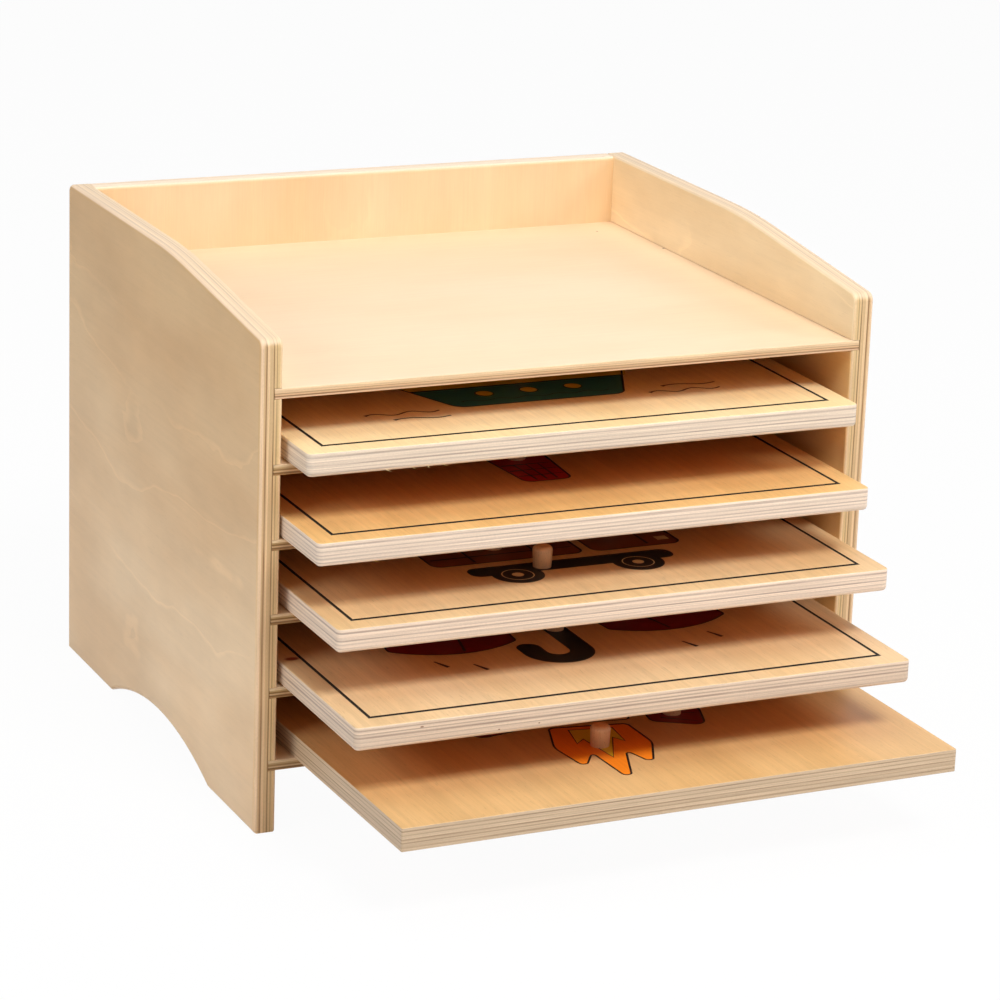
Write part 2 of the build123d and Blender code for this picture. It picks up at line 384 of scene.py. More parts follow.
# Plies of each sheet: thickness and colour, from a side's outer face, the back panel's front and
# a shelf's underside
SIDE_LAYERS = [
    (1.9, (0.81, 0.57, 0.36)),
    (0.9, (0.61, 0.41, 0.22)),
    (0.9, (0.31, 0.165, 0.07)),
    (1.3, (0.79, 0.56, 0.32)),
    (2.0, (0.62, 0.42, 0.22)),
    (0.5, (0.26, 0.14, 0.05)),
    (1.2, (0.70, 0.49, 0.255)),
    (0.4, (0.40, 0.255, 0.105)),
    (1.5, (0.70, 0.49, 0.245)),
    (1.4, (0.84, 0.61, 0.36)),
]
BACK_LAYERS = [
    (7.0, (0.92, 0.73, 0.54)),
    (0.5, (0.72, 0.52, 0.34)),
    (4.5, (0.86, 0.66, 0.48)),
]
TRAY_LAYERS = [
    (1.0, (0.74, 0.49, 0.31)),
    (0.7, (0.28, 0.14, 0.06)),
    (1.0, (0.64, 0.41, 0.23)),
    (0.3, (0.36, 0.22, 0.10)),
    (1.1, (0.70, 0.48, 0.28)),
    (1.4, (0.80, 0.58, 0.35)),
]
# The shelves' plies are darker than the tray floor's: painted shade, as they sit in shade under the
# boards
SHELF_SHADED_LAYERS = [
    (0.7, (0.40, 0.24, 0.10)),
    (0.9, (0.22, 0.11, 0.035)),
    (0.9, (0.56, 0.37, 0.19)),
    (0.9, (0.26, 0.14, 0.045)),
    (0.8, (0.46, 0.30, 0.13)),
    (1.3, (0.76, 0.57, 0.34)),
]

# Heights where the walls change, in millimetres: a side's outer face from its foot, painted lit, to
# its top, painted shaded, the tray's finish to the painted shade of the bays behind the tray's
# floor, and the lowest and highest groove
SIDE_LIGHT_RISE = (-10.0, 290.0)
BAY_SHADE_HEIGHTS = (236.0, 228.0)
GROOVES = (30.0, 243.0)

# Depths in millimetres: where one face's colour becomes the other's, in a side and in the back
# panel, and the bottom of a side's grooves
FACE_CHANGE = (4.0, 6.0)
GROOVE_BOTTOM = (6.5, 8.5)

# How far up a surface faces: a side's top, with the share of its pale tone that is painted light, a
# groove's level wall, a shelf's underside, which takes the orange of painted shade, and its faces
SIDE_TOP_LIGHT_FACING = (0.2, 0.75)
SIDE_TOP_LIGHT_SHARE = 0.5
LEVEL = 0.9
SHELF_UNDERSIDE_SHADE = (-0.5, -0.8)
SHELF_FACING = (0.55, 0.80)

# Where in the noise each sheet's pattern starts
SIDE_FACE_SEED = 3.0
SIDE_EDGE_SEED = 11.0
BACK_FACE_SEED = 21.0
BACK_EDGE_SEED = 23.0

# The tray floor's two small dark pin knots: place across and inward, and radius
PIN_KNOTS = ((144.2, 189.3, 0.9), (163.0, 138.0, 1.1))
PIN_KNOT_BROWN = (0.20, 0.10, 0.04)


def side_ply(name):
    """Plywood of a side: plies counted from its outer face, which has painted shade towards its top
    and painted floor bounce towards its foot, painted shade in the bays, painted light on its top
    edge, and grooves in darker brown.
    """
    low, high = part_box(name)
    outward = -1 if name == "left_side" else 1
    shader = Shader(f"{name}_ply")
    x, y, z = shader.split(shader.place)
    normal = shader.split(shader.normal)
    outer = (low.x if outward < 0 else high.x) / MM
    thickness = (high.x - low.x) / MM
    depth = shader.times(shader.maths("SUBTRACT", x, outer), -outward)

    # Inner face: deeper orange in the bays below the tray's floor, as painted shade
    inner_face_bay_shade = shader.mix(shader.smooth(z, *BAY_SHADE_HEIGHTS), SIDE_INNER_FACE, BAY_SHADE_FACE)
    # Outer face: painted shade towards the top, painted floor bounce towards the foot
    outer_face_painted_light = shader.mix(shader.smooth(z, *SIDE_LIGHT_RISE), SIDE_FACE_LIT_FOOT, SIDE_FACE_SHADED_TOP)
    wood = shader.mix(shader.smooth(depth, *FACE_CHANGE), outer_face_painted_light, inner_face_bay_shade)
    face, face_height = veneer(
        shader, y, z, depth, wood, SIDE_FACE_SEED + outward, warm=SIDE_WARM_TONE, cloud=0.06,
        band=0.015, line=0.012, fibre=0.035, fleck=0.05,
    )
    edge, edge_height = plies(
        shader, depth, thickness, shader.maths("ADD", y, z), SIDE_LAYERS, SIDE_EDGE_SEED + outward,
        fade=0.35,
    )
    # Upward-facing edges washed pale: painted light
    upward = shader.smooth(normal["Z"], *SIDE_TOP_LIGHT_FACING)
    edge = shader.mix(shader.times(upward, SIDE_TOP_LIGHT_SHARE), edge, SIDE_TOP_LIGHT)
    on_face = facing(shader, normal["X"])
    colour = shader.mix(on_face, edge, face)

    level = shader.maths("GREATER_THAN", shader.size(normal["Z"]), LEVEL)
    groove_walls = shader.times(level, between(shader, z, *GROOVES, 1.0))
    groove_bottoms = shader.times(between(shader, depth, *GROOVE_BOTTOM, 0.5), on_face)
    # Grooves: darker brown
    colour = shader.mix(shader.larger(groove_walls, groove_bottoms), colour, GROOVE_BROWN)
    return shader.finish(colour, shader.maths("ADD", face_height, edge_height))


def back_ply():
    """Plywood of the back panel, its grain upright, yellower in the bays as painted shade."""
    low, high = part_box("back_panel")
    shader = Shader("back_panel_ply")
    x, y, z = shader.split(shader.place)
    depth = shader.maths("SUBTRACT", y, low.y / MM)
    thickness = (high.y - low.y) / MM
    face, face_height = veneer(
        shader, z, x, depth, BACK_FACE, BACK_FACE_SEED, cloud=0.03, band=0.025, line=0.0,
        figure=0.03, fleck=0.01,
    )
    front = shader.smooth(depth, *reversed(FACE_CHANGE))
    # Front face in the bays: deeper orange, as painted shade
    face = shader.mix(shader.times(shader.smooth(z, *BAY_SHADE_HEIGHTS), front), face, BAY_SHADE_FACE)
    edge, edge_height = plies(shader, depth, thickness, x, BACK_LAYERS, BACK_EDGE_SEED, hair=0.12)
    colour = shader.mix(facing(shader, shader.split(shader.normal)["Y"]), edge, face)
    return shader.finish(colour, shader.maths("ADD", face_height, edge_height))


def shelf_ply(name):
    """Thin plywood of the shelves, orange underneath as painted shade, with plies painted darker on
    the shelves than on the tray's floor as painted shade, and pin knots in the tray's floor.
    """
    low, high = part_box(name)
    shader = Shader(f"{name}_ply")
    x, y, z = shader.split(shader.place)
    upward = shader.split(shader.normal)["Z"]
    depth = shader.maths("SUBTRACT", z, low.z / MM)
    thickness = (high.z - low.z) / MM
    seed = low.z / MM
    face, face_height = veneer(
        shader, x, y, depth, SHELF_FACE, seed, warm=SHELF_WARM_TONE, cloud=0.012, band=0.01,
        line=0.01, figure=0.02, fleck=0.02,
    )
    # Underside: orange, as painted shade
    face = shader.mix(shader.smooth(upward, *SHELF_UNDERSIDE_SHADE), face, UNDERSIDE_SHADE_ORANGE)
    # The shelves take the darker plies of painted shade
    layers = TRAY_LAYERS if name == "tray_floor" else SHELF_SHADED_LAYERS
    edge, edge_height = plies(shader, depth, thickness, x, layers, seed, fade=0.3)
    colour = shader.mix(facing(shader, upward, SHELF_FACING), edge, face)
    if name == "tray_floor":
        for knot_x, knot_y, radius in PIN_KNOTS:
            place = (knot_x, knot_y, high.z / MM)
            colour = spot(shader, colour, place, (radius, radius, radius), PIN_KNOT_BROWN)
    return shader.finish(colour, shader.maths("ADD", face_height, edge_height))


# The puzzle boards

BOARD_FACES = {
    "boat": (0.93, 0.725, 0.405),
    "balloon": (0.81, 0.50, 0.20),
    "truck": (0.775, 0.54, 0.285),
    "umbrella": (0.775, 0.545, 0.305),
    "rocket": (0.715, 0.45, 0.198),
}

# How the plies of each board differ from the others in tone
BOARD_EDGES = {
    "boat": (0.91, 0.92, 0.89),
    "balloon": (0.955, 0.95, 0.93),
    "truck": (0.97, 0.94, 0.90),
    "umbrella": (0.85, 0.81, 0.75),
    "rocket": (0.93, 0.955, 1.0),
}
PALE_PLY = (0.92, 0.755, 0.61)
DARK_PLY = (0.34, 0.225, 0.19)
TAN_PLY = (0.72, 0.52, 0.33)
BROWN_PLY = (0.26, 0.15, 0.07)

# Plies of a board's edge, from its top: thickness and how dark, and how much both vary
EDGE_PLIES = [
    (1.7, 0.06), (0.9, 0.62), (1.5, 0.05), (0.5, 0.48), (1.2, 0.12), (0.9, 0.68), (1.2, 0.05),
    (0.5, 0.50), (1.3, 0.20), (0.7, 0.58), (2.0, 0.06),
]
PLAIN_EDGE_PLIES = [
    (1.3, 0.10), (0.5, 0.75), (1.6, 0.20), (0.35, 0.55), (1.5, 0.10), (0.45, 0.80), (1.4, 0.25),
    (0.35, 0.55), (1.5, 0.15), (0.5, 0.75), (1.7, 0.20),
]
DARKNESS_RANGE = (0.75, 1.15)
THICKNESS_RANGE = (0.7, 1.3)

# The border line, in millimetres: its place and half widths along the sides and the front
BORDER_INSET = 12.5
BORDER_HALF_WIDTH = 0.9
FRONT_BORDER_HALF_WIDTH = 1.2
BORDER_SOFTNESS = (0.10, -0.02)
BORDER_DEPTH = (1.0, 0.7)
BORDER_BLACK = (0.012, 0.009, 0.007)
BORDER_ROUGHNESS = 0.77

# What the laser burnt brown: upright walls inside this rim, and the pockets' floors
BURNT = (0.035, 0.014, 0.006)
RIM = (4.0, 5.0)
POCKET_FLOOR_FROM = (5.0, 5.8)
POCKET_FLOOR_TO = (7.0, 6.4)

# How far up a board's surface faces: its underside, which takes the orange of painted shade, its
# top, and the walls of its pockets
BOARD_UNDERSIDE_SHADE = (-0.86, -0.97)
BOARD_TOP = (0.5, 0.8)
UPRIGHT = (0.6, 0.3)

PLAIN_BOARD_COAT = 0.14
BOARD_COAT = 0.03
BOARD_SEED = 40.0
BOARD_SEED_STEP = 7.0

# Small marks on the boards, by board: place on it, reach across, inward and up, and colour
BOARD_MARKS = {
    "umbrella": [
        ((-121.9, 0.0, -3.3), (1.3, 1.0, 0.55), (0.34, 0.19, 0.12)),
        ((-79.7, 0.0, -9.8), (0.8, 1.0, 0.40), (0.20, 0.10, 0.06)),
        ((-57.6, 0.0, -9.0), (0.7, 1.0, 0.40), (0.24, 0.12, 0.07)),
        ((-150.0, 106.0, 0.0), (5.2, 3.2, 1.2), (0.26, 0.05, 0.02)),
    ],
}


def board_layers(name):
    """Plies of uneven thickness and tone, different on each board but the same each run."""
    chance = random.Random(f"{name} plies")
    if name == PLAIN_BOARD:
        pattern, pale, dark = PLAIN_EDGE_PLIES, TAN_PLY, BROWN_PLY
    else:
        pattern, pale, dark = EDGE_PLIES, PALE_PLY, DARK_PLY
    layers = []
    for thickness, darkness in pattern:
        darkness = min(1.0, darkness * chance.uniform(*DARKNESS_RANGE))
        channels = zip(pale, dark, BOARD_EDGES[name])
        tone = tuple((light + (deep - light) * darkness) * tint for light, deep, tint in channels)
        layers.append((thickness * chance.uniform(*THICKNESS_RANGE), tone))
    return layers


def border_ink(shader, x, y, depth, half_x, half_y):
    """1 on the border line, which is wider along the front and back than along the sides."""
    past_x = shader.maths("SUBTRACT", shader.size(x), half_x - BORDER_INSET)
    past_y = shader.maths("SUBTRACT", shader.size(y), half_y - BORDER_INSET)
    across = shader.maths("GREATER_THAN", past_y, past_x)
    widening = FRONT_BORDER_HALF_WIDTH - BORDER_HALF_WIDTH
    half_width = shader.maths("MULTIPLY_ADD", across, widening, BORDER_HALF_WIDTH)
    off_line = shader.maths("SUBTRACT", shader.size(shader.larger(past_x, past_y)), half_width)
    on_line = shader.smooth(off_line, *BORDER_SOFTNESS)
    return shader.times(on_line, shader.smooth(depth, *BORDER_DEPTH))


def burnt_walls(shader, x, y, depth, half_x, half_y, upward):
    """1 on the walls and floors of the pockets, 0 on the board's faces and outer edges."""
    near_x, far_x = (half_x - inset for inset in RIM)
    near_y, far_y = (half_y - inset for inset in RIM)
    inside_x = shader.smooth(shader.size(x), near_x, far_x)
    inside_y = shader.smooth(shader.size(y), near_y, far_y)
    walls = shader.smooth(shader.size(upward), *UPRIGHT)
    floors = shader.times(
        shader.smooth(depth, *POCKET_FLOOR_FROM), shader.smooth(depth, *POCKET_FLOOR_TO)
    )
    return shader.times(shader.times(inside_x, inside_y), shader.larger(walls, floors))


def board_ply(name):
    """Plywood of a puzzle board: its plies, its border line and the burnt walls of its pockets."""
    board = boards[name]
    plain = name == PLAIN_BOARD
    shader = Shader(f"{name}_board_ply", coat=PLAIN_BOARD_COAT if plain else BOARD_COAT)
    centred = shader.vector("SUBTRACT", shader.place, tuple(board["centre"] / MM))
    turned = shader.node(
        "VectorRotate", {"Vector": centred, "Angle": -board["turn"]}, rotation_type="Z_AXIS"
    )
    x, y, z = shader.split(turned.outputs[0])
    upward = shader.split(shader.normal)["Z"]
    thickness = (board["top"] - board["bottom"]) / MM
    half_x = board["half_x"] / MM
    half_y = board["half_y"] / MM
    depth = shader.maths("SUBTRACT", thickness / 2, z)
    seed = BOARD_SEED + BOARD_SEED_STEP * BOARD_NAMES.index(name)

    face, face_height = veneer(
        shader, y, x, depth, BOARD_FACES[name], seed, line=0.045, fibre=0.10, figure=0.05,
        fleck=0.16,
    )
    # Underside: orange, as painted shade that reddens the shade on the board below
    underside_shade = shader.smooth(upward, *BOARD_UNDERSIDE_SHADE)
    face = shader.mix(underside_shade, face, UNDERSIDE_SHADE_ORANGE)
    edge, edge_height = plies(
        shader, depth, thickness, shader.maths("ADD", x, y), board_layers(name), seed
    )
    flat = shader.larger(shader.smooth(upward, *BOARD_TOP), underside_shade)
    colour = shader.mix(flat, edge, face)
    burnt = burnt_walls(shader, x, y, depth, half_x, half_y, upward)
    colour = shader.mix(burnt, colour, BURNT)
    if not plain:
        inked = border_ink(shader, x, y, depth, half_x, half_y)
        colour = shader.mix(inked, colour, BORDER_BLACK)
        rougher = BORDER_ROUGHNESS - PLY_ROUGHNESS
        roughness = shader.maths("MULTIPLY_ADD", inked, rougher, PLY_ROUGHNESS)
        shader.wire(shader.surface, "Roughness", roughness)
    for place, reach, ink in BOARD_MARKS.get(name, []):
        colour = spot(shader, colour, tuple(on_board(name, *place) / MM), reach, ink)
    return shader.finish(colour, shader.maths("ADD", face_height, edge_height))


# The inlay pieces and their knobs

PAINTS = {
    "teal_paint": (0.03, 0.17, 0.16),
    "yellow_paint": (0.76, 0.55, 0.03),
    "black_paint": (0.010, 0.008, 0.007),
    "red_paint": (0.42, 0.012, 0.012),
    "dark_red_paint": (0.20, 0.006, 0.008),
    "brown_paint": (0.26, 0.075, 0.03),
    "orange_paint": (0.92, 0.25, 0.012),
    "cream_paint": (0.80, 0.62, 0.36),
}
BEECH = (0.78, 0.52, 0.30)

# Noise on a print and in a knob, per millimetre along the three axes
PRINT_FIBRE_NOISE = (1.2, 0.03, 1.0)
PRINT_CLOUD_NOISE = (0.05, 0.03, 0.05)
BEECH_FIBRE_NOISE = (1.4, 1.4, 0.12)
BEECH_FLECK_NOISE = (2.6, 2.6, 0.7)
BEECH_FLECK_RANGE = (0.60, 0.70)

# Contrast of these patterns, their relief in millimetres, and how far up a printed face faces
PRINT_FIBRE = 0.16
PRINT_CLOUD = 0.14
BEECH_FIBRE = 0.14
BEECH_FLECK = 0.18
FINE_RELIEF = 0.03
PRINTED_TOP = (0.8, 0.95)


def painted_wood(slot, colour):
    """Printed colour on an inlay piece's face, with the laser's burn down its sides."""
    shader = Shader(slot, roughness=0.5, coat=0.05)
    fibre_place = shader.vector("MULTIPLY", shader.place, PRINT_FIBRE_NOISE)
    fibre = shader.noise(fibre_place, detail=3.0, roughness=0.6)
    cloud = shader.noise(shader.vector("MULTIPLY", shader.place, PRINT_CLOUD_NOISE))
    print_colour = shader.shade(colour, fibre, PRINT_FIBRE)
    print_colour = shader.shade(print_colour, cloud, PRINT_CLOUD)
    top = shader.smooth(shader.split(shader.normal)["Z"], *PRINTED_TOP)
    return shader.finish(shader.mix(top, BURNT, print_colour), fibre, depth=FINE_RELIEF)


def knob_wood():
    """Turned beech: upright fibres and short dark flecks."""
    shader = Shader("knob_beech", roughness=0.45, coat=0.1, specular=0.5)
    fibre = shader.noise(shader.vector("MULTIPLY", shader.place, BEECH_FIBRE_NOISE), detail=3.0)
    fleck = shader.noise(shader.vector("MULTIPLY", shader.place, BEECH_FLECK_NOISE), detail=1.0)
    colour = shader.shade(BEECH, fibre, BEECH_FIBRE)
    colour = shader.darken(colour, shader.smooth(fleck, *BEECH_FLECK_RANGE), BEECH_FLECK)
    return shader.finish(colour, fibre, depth=FINE_RELIEF)


def dress(name, material):
    """Gives a node of the frame its finish, in every slot that its mesh has."""
    for slot in nodes[name].material_slots:
        slot.material = material


for side in ("left_side", "right_side"):
    dress(side, side_ply(side))
dress("back_panel", back_ply())
for shelf in ["tray_floor"] + [f"shelf_{level}" for level in range(1, 6)]:
    dress(shelf, shelf_ply(shelf))
for board_name in BOARD_NAMES:
    dress(f"{board_name}_board", board_ply(board_name))
paints = {slot: painted_wood(slot, colour) for slot, colour in PAINTS.items()}
turned_beech = knob_wood()
for part in frame["record"]["subparts"]:
    if part["material_slot"] in paints:
        dress(part["node"], paints[part["material_slot"]])
    elif part["material_slot"] == "knob_wood":
        dress(part["node"], turned_beech)


# Prints: a black line round every inlay piece, just outside its edge, which is the laser's scorch
# and painted shade of the slit round the piece, and the lines and colours of the pictures, a hair
# above the wood. Points are in millimetres on the piece's board, as in on_board.

# The black line round each piece: the laser's scorch, and painted shade of the slit between piece
# and pocket
SLIT_SHADE_GAP = 0.15
SLIT_SHADE_WIDTH = 1.0
SLIT_SHADE_LIFT = 0.10
LINE_LIFT = 0.08
COLOUR_LIFT = 0.04
LEAST_BEVEL = 0.5
DOWN = Vector((0, 0, -1))

# Points closer than this, in metres, are one, and an upper face lies this near the top
SAME_POINT = 1e-6
SAME_HEIGHT = 1e-5

# The leaning rocket: the point that it is turned about, and by how much
ROCKET_MIDDLE = (0.0, 146.0)
ROCKET_LEAN = math.radians(-10.0)

DISC_POINTS = 24
WAVE_POINTS = 12


def leaning(x, y):
    """A point of the upright rocket, where it lies once the rocket leans."""
    cos, sin = math.cos(ROCKET_LEAN), math.sin(ROCKET_LEAN)
    right, up = x - ROCKET_MIDDLE[0], y - ROCKET_MIDDLE[1]
    return ROCKET_MIDDLE[0] + cos * right - sin * up, ROCKET_MIDDLE[1] + sin * right + cos * up


def disc(x, y, radius):
    """Points round a disc, to be filled."""
    turns = [math.radians(360 * step / DISC_POINTS) for step in range(DISC_POINTS)]
    return [(x + radius * math.cos(turn), y + radius * math.sin(turn)) for turn in turns]


def circle(x, y, radius):
    """Points round a circle and back to the first, to be drawn as a line."""
    return looped(disc(x, y, radius))


def looped(points):
    return points + points[:1]


def box_of(low_x, low_y, high_x, high_y):
    return [(low_x, low_y), (high_x, low_y), (high_x, high_y), (low_x, high_y)]


def wave(low_x, high_x, y, height, count):
    steps = WAVE_POINTS * count
    return [
        (
            low_x + (high_x - low_x) * step / steps,
            y + height * math.sin(math.tau * step / WAVE_POINTS),
        )
        for step in range(steps + 1)
    ]


def ribbon(mesh, points, closed, near, far):
    """Flat strip beside a line of points, from near to far on its right hand side, in mm.

    An open line starts at double width and narrows to its second point, like a brush stroke.
    """
    count = len(points)
    rows = []
    for index, point in enumerate(points):
        before = points[index - 1] if closed or index > 0 else point
        after = points[(index + 1) % count] if closed or index < count - 1 else point
        first = (point - before).normalized()
        second = (after - point).normalized()
        left = (first + second).normalized().cross(DOWN)
        bevel = max(LEAST_BEVEL, left.dot(first.cross(DOWN)))
        rows.append([mesh.verts.new(point - left * (span * MM / bevel)) for span in (near, far)])
    for index in range(count if closed else count - 1):
        (a, b), (c, d) = rows[index], rows[(index + 1) % count]
        mesh.faces.new((a, b, d, c))


def patch_of(mesh, points):
    """Flat face inside a closed line of points."""
    face = mesh.faces.new([mesh.verts.new(point) for point in points])
    face.normal_update()
    bmesh.ops.triangulate(mesh, faces=[face], ngon_method="EAR_CLIP")


def add_piece(name, mesh, material, body):
    """A new piece from a bmesh that moves with a body and takes its finish from a slot."""
    data = bpy.data.meshes.new(name)
    mesh.to_mesh(data)
    mesh.free()
    data.materials.append(material)
    piece = bpy.data.objects.new(name, data)
    bpy.context.scene.collection.objects.link(piece)
    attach(piece, body)


def add_print(name, mesh, slot, body):
    """A new flat print with its faces up, in one of the paints."""
    for face in mesh.faces:
        face.normal_update()
        if face.normal.z < 0:
            face.normal_flip()
    add_piece(name, mesh, paints[slot], body)


def body_of(node):
    return nodes[node]["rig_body"]


def reach_of(line):
    """The diagonal of the box round a line of points."""
    return (Vector(map(max, zip(*line))) - Vector(map(min, zip(*line)))).length


def top_outline(node):
    """The outer edge of a node's upper face, as one closed line with the wood on its left."""
    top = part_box(node)[1].z
    mesh = bmesh.new()
    mesh.from_mesh(nodes[node].data)
    bmesh.ops.remove_doubles(mesh, verts=mesh.verts, dist=SAME_POINT)
    upper = {
        face for face in mesh.faces if all(abs(vert.co.z - top) < SAME_HEIGHT for vert in face.verts)
    }
    ahead = {}
    for face in upper:
        for loop in face.loops:
            if not any(other in upper for other in loop.edge.link_faces if other is not face):
                ahead[loop.vert.index] = loop.link_loop_next.vert.index
    places = {vert.index: vert.co.copy() for vert in mesh.verts}
    mesh.free()
    lines = []
    while ahead:
        start, following = ahead.popitem()
        line = [places[start]]
        while following != start:
            line.append(places[following])
            following = ahead.pop(following)
        lines.append(line)
    return max(lines, key=reach_of)


INNER_FLAME = [
    (-12.0, 92.0), (-13.0, 72.0), (-8.0, 78.0), (0.0, 50.0), (8.0, 78.0), (13.0, 72.0), (12.0, 92.0),
]
CAB_WINDOW = [(30.0, 116.0), (60.0, 116.0), (50.0, 138.0), (30.0, 138.0)]

# The prints: node, paint and shapes. A shape has the width of its line, or 0 where it is filled.
PRINTS = [
    ("boat_board", "black_paint", [
        (1.3, wave(-104.0, -62.0, 56.0, 2.2, 2)),
        (1.3, wave(-92.0, -60.0, 45.0, 1.8, 1)),
        (1.3, wave(60.0, 102.0, 54.0, 2.2, 2)),
        (1.3, wave(72.0, 104.0, 64.0, 1.8, 1)),
    ]),
    ("boat_hull", "yellow_paint", [
        (0, [(-64.0, 92.0), (64.0, 92.0), (68.5, 102.0), (-68.5, 102.0)]),
        (0, disc(-26.0, 79.0, 5.0)),
        (0, disc(0.0, 79.0, 5.0)),
        (0, disc(26.0, 79.0, 5.0)),
    ]),
    ("boat_hull", "black_paint", [
        (0.8, [(-63.0, 92.0), (63.0, 92.0)]),
        (0.8, [(-67.0, 102.0), (67.0, 102.0)]),
        (0.8, circle(-26.0, 79.0, 5.0)),
        (0.8, circle(0.0, 79.0, 5.0)),
        (0.8, circle(26.0, 79.0, 5.0)),
        (0.8, wave(-44.0, 42.0, 67.0, 1.4, 5)),
    ]),
    ("boat_mainsail", "black_paint", [
        (0.8, [(7.0, 150.0), (49.0, 150.0)]),
        (0.8, [(7.0, 174.0), (35.0, 174.0)]),
        (0.8, [(7.0, 198.0), (20.0, 198.0)]),
    ]),
    ("boat_jib", "black_paint", [
        (0.8, [(-7.0, 150.0), (-37.0, 150.0)]),
        (0.8, [(-7.0, 174.0), (-22.0, 174.0)]),
    ]),
    ("balloon_board", "black_paint", [
        (0.8, [(-15.5, 117.5), (-26.0, 129.5)]),
        (0.8, [(15.5, 117.5), (26.0, 129.5)]),
        (0.8, [(-4.0, 117.5), (-4.0, 123.5)]),
        (0.8, [(4.0, 117.5), (4.0, 123.5)]),
    ]),
    ("balloon_basket", "black_paint", [
        (0.7, [(-13.0, 76.0), (13.0, 76.0)]),
        (0.7, [(-13.6, 86.0), (13.6, 86.0)]),
        (0.7, [(-14.4, 96.0), (14.4, 96.0)]),
        (0.7, [(-6.0, 68.0), (-7.0, 96.0)]),
        (0.7, [(0.0, 68.0), (0.0, 96.0)]),
        (0.7, [(6.0, 68.0), (7.0, 96.0)]),
    ]),
    ("balloon_left_gore", "yellow_paint", [
        (0, box_of(-52.0, 160.0, -23.0, 168.0)),
        (0, box_of(-52.0, 196.0, -23.0, 204.0)),
    ]),
    ("balloon_right_gore", "yellow_paint", [
        (0, box_of(23.0, 160.0, 52.0, 168.0)),
        (0, box_of(23.0, 196.0, 52.0, 204.0)),
    ]),
    ("balloon_middle_gore", "red_paint", [
        (0, box_of(-15.0, 160.0, 15.0, 168.0)),
        (0, box_of(-15.0, 196.0, 15.0, 204.0)),
    ]),
    ("truck_chassis", "cream_paint", [
        (0, disc(-35.0, 53.0, 3.2)),
        (0, disc(35.0, 53.0, 3.2)),
        (0.6, circle(-35.0, 53.0, 8.5)),
        (0.6, circle(35.0, 53.0, 8.5)),
    ]),
    ("truck_bed", "black_paint", [
        (0.8, [(-70.0, 88.0), (12.0, 88.0)]),
        (0.8, [(-48.0, 79.0), (-48.0, 110.0)]),
        (0.8, [(-10.0, 79.0), (-10.0, 110.0)]),
    ]),
    ("truck_load", "black_paint", [
        (0.8, [(-48.0, 122.0), (-48.0, 158.0)]),
        (0.8, [(-10.0, 122.0), (-10.0, 158.0)]),
    ]),
    ("truck_cab", "cream_paint", [
        (0, CAB_WINDOW),
        (0, box_of(62.0, 84.0, 69.0, 90.0)),
    ]),
    ("truck_cab", "black_paint", [
        (0.8, looped(CAB_WINDOW)),
        (0.8, [(54.0, 80.0), (54.0, 112.0)]),
    ]),
    ("umbrella_board", "black_paint", [
        (1.2, [(-60.0, 58.0), (-64.0, 68.0)]),
        (1.2, [(-78.0, 68.0), (-82.0, 78.0)]),
        (1.2, [(60.0, 56.0), (56.0, 66.0)]),
        (1.2, [(80.0, 66.0), (76.0, 76.0)]),
    ]),
    ("umbrella_left_gore", "black_paint", [
        (0.8, [(-60.0, 88.0), (-46.0, 150.0), (-20.0, 207.0)]),
    ]),
    ("umbrella_right_gore", "black_paint", [
        (0.8, [(60.0, 88.0), (46.0, 150.0), (20.0, 207.0)]),
    ]),
    ("umbrella_middle_gore", "dark_red_paint", [
        (0, box_of(-18.0, 142.0, 18.0, 150.0)),
        (0, box_of(-14.0, 182.0, 14.0, 190.0)),
    ]),
    ("rocket_flame", "yellow_paint", [(0, INNER_FLAME)]),
    ("rocket_flame", "black_paint", [(0.7, looped(INNER_FLAME))]),
    ("rocket_left_fin", "black_paint", [
        (0.8, [(-42.0, 102.0), (-60.0, 94.0)]),
        (0.8, [(-42.0, 112.0), (-62.0, 106.0)]),
    ]),
    ("rocket_right_fin", "black_paint", [
        (0.8, [(42.0, 102.0), (60.0, 94.0)]),
        (0.8, [(42.0, 112.0), (62.0, 106.0)]),
    ]),
    ("rocket_body", "dark_red_paint", [
        (0, box_of(-24.0, 110.0, 24.0, 116.0)),
        (0.9, circle(0.0, 168.0, 11.0)),
    ]),
    ("rocket_body", "teal_paint", [
        (0, disc(0.0, 168.0, 9.0)),
    ]),
    ("rocket_nose", "black_paint", [
        (0.8, [(-19.0, 203.0), (19.0, 203.0)]),
    ]),
]

# Black lines round the pieces: painted shade of the slits, with the laser's scorch
for part in frame["record"]["subparts"]:
    if part["material_slot"] in paints:
        node = part["node"]
        slit_shade = bmesh.new()
        edge_line = [point + Vector((0, 0, SLIT_SHADE_LIFT * MM)) for point in top_outline(node)]
        ribbon(slit_shade, edge_line, True, SLIT_SHADE_GAP, SLIT_SHADE_GAP + SLIT_SHADE_WIDTH)
        add_print(f"{node}_outline", slit_shade, "black_paint", body_of(node))

for node, slot, shapes in PRINTS:
    board_name = node.split("_")[0]
    lift = LINE_LIFT if slot == "black_paint" else COLOUR_LIFT
    printed = bmesh.new()
    for width, points in shapes:
        if board_name == "rocket":
            points = [leaning(x, y) for x, y in points]
        spots = [on_board(board_name, x, y, lift) for x, y in points]
        if width == 0:
            patch_of(printed, spots)
        else:
            closed = points[0] == points[-1]
            ribbon(printed, spots[:-1] if closed else spots, closed, -width / 2, width / 2)
    colour_name = slot.replace("_paint", "")
    add_print(f"{node}_{colour_name}_print", printed, slot, body_of(node))


# Splinters left by the saw under two boards' front edges

# Place across, length out and sideways lean of each, in millimetres
SPLINTERS = {
    "boat": [(-114.5, 4.0, 1.6), (-100.0, 3.2, 0.6), (-91.3, 3.8, -1.2), (-83.0, 3.0, 1.4)],
    "balloon": [(-126.3, 3.2, 1.0)],
}

